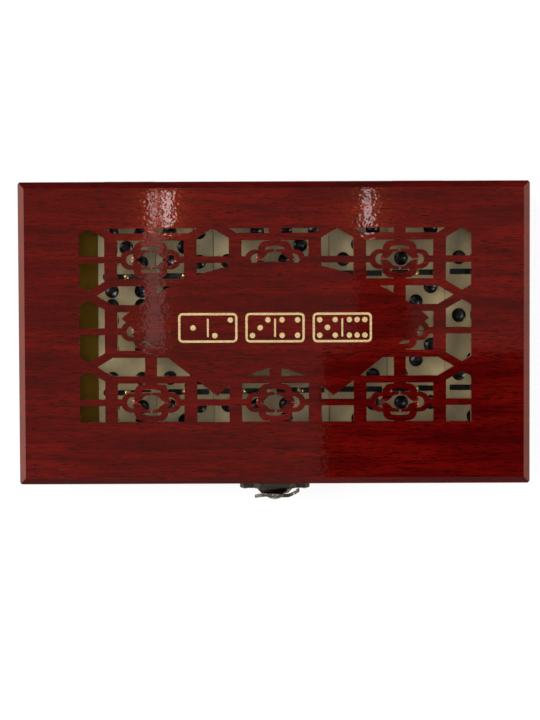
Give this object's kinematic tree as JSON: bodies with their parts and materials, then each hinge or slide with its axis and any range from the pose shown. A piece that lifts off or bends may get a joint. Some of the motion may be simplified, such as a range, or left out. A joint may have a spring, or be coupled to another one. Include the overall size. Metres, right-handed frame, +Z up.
{
  "type": "domino storage box",
  "caption": "Hinged wooden box with a pierced lattice lid and a front swing latch, holding a set of domino tiles.",
  "frame": {"origin": "middle of the box's footprint, on the surface that the box stands on", "axes": "+X along the box's length to the right, +Y to the rear where the hinges are, +Z up; the latch faces -Y"},
  "size_m": [0.218, 0.1371, 0.04],
  "materials": {
    "lacquered_wood": "high-gloss dark red lacquer over wood grain",
    "lining": "short olive-gold nap",
    "tile": "polished ivory resin with black pips",
    "stud": "polished",
    "hinge_brass": "satin",
    "antique_bronze": "darkened, worn on its edges"
  },
  "bodies": {
    "box_body": {"floor_lining": "lining", "floor_panel": "lacquered_wood", "front_wall": "lacquered_wood", "hinge_leaf_body_left": "hinge_brass", "hinge_leaf_body_right": "hinge_brass", "hinge_pin_left": "hinge_brass", "hinge_pin_right": "hinge_brass", "hinge_screws_body": "hinge_brass", "latch_body_plate": "antique_bronze", "latch_keeper": "antique_bronze", "latch_nails_body": "antique_bronze", "left_wall": "lacquered_wood", "rear_wall": "lacquered_wood", "right_wall": "lacquered_wood", "tile_0_0": "tile", "tile_0_1": "tile", "tile_0_2": "tile", "tile_0_3": "tile", "tile_0_4": "tile", "tile_0_5": "tile", "tile_0_6": "tile", "tile_1_1": "tile", "tile_1_2": "tile", "tile_1_3": "tile", "tile_1_4": "tile", "tile_1_5": "tile", "tile_1_6": "tile", "tile_2_2": "tile", "tile_2_3": "tile", "tile_2_4": "tile", "tile_2_5": "tile", "tile_2_6": "tile", "tile_3_3": "tile", "tile_3_4": "tile", "tile_3_5": "tile", "tile_3_6": "tile", "tile_4_4": "tile", "tile_4_5": "tile", "tile_4_6": "tile", "tile_5_5": "tile", "tile_5_6": "tile", "tile_6_6": "tile", "tile_studs_lower": "stud", "tile_studs_upper": "stud"},
    "lid": {"lid_panel": "lacquered_wood", "lid_front_rail": "lacquered_wood", "lid_rear_rail": "lacquered_wood", "lid_left_rail": "lacquered_wood", "lid_right_rail": "lacquered_wood", "hinge_leaf_lid_left": "hinge_brass", "hinge_leaf_lid_right": "hinge_brass", "hinge_screws_lid": "hinge_brass", "latch_lid_plate": "antique_bronze", "latch_rivet": "antique_bronze", "latch_nails_lid": "antique_bronze"},
    "latch_lever": {"latch_lever": "antique_bronze"}
  },
  "joints": [
    {"name": "lid_hinge", "type": "hinge", "parent": "box_body", "child": "lid", "pos_m": [0, 0.06415, 0.026], "axis": [-1, 0, 0], "range_deg": [0, 105]},
    {"name": "latch_pivot", "type": "hinge", "parent": "lid", "child": "latch_lever", "pos_m": [0, -0.0692, 0.0312], "axis": [0, 1, 0], "range_deg": [-30, 85]}
  ]
}
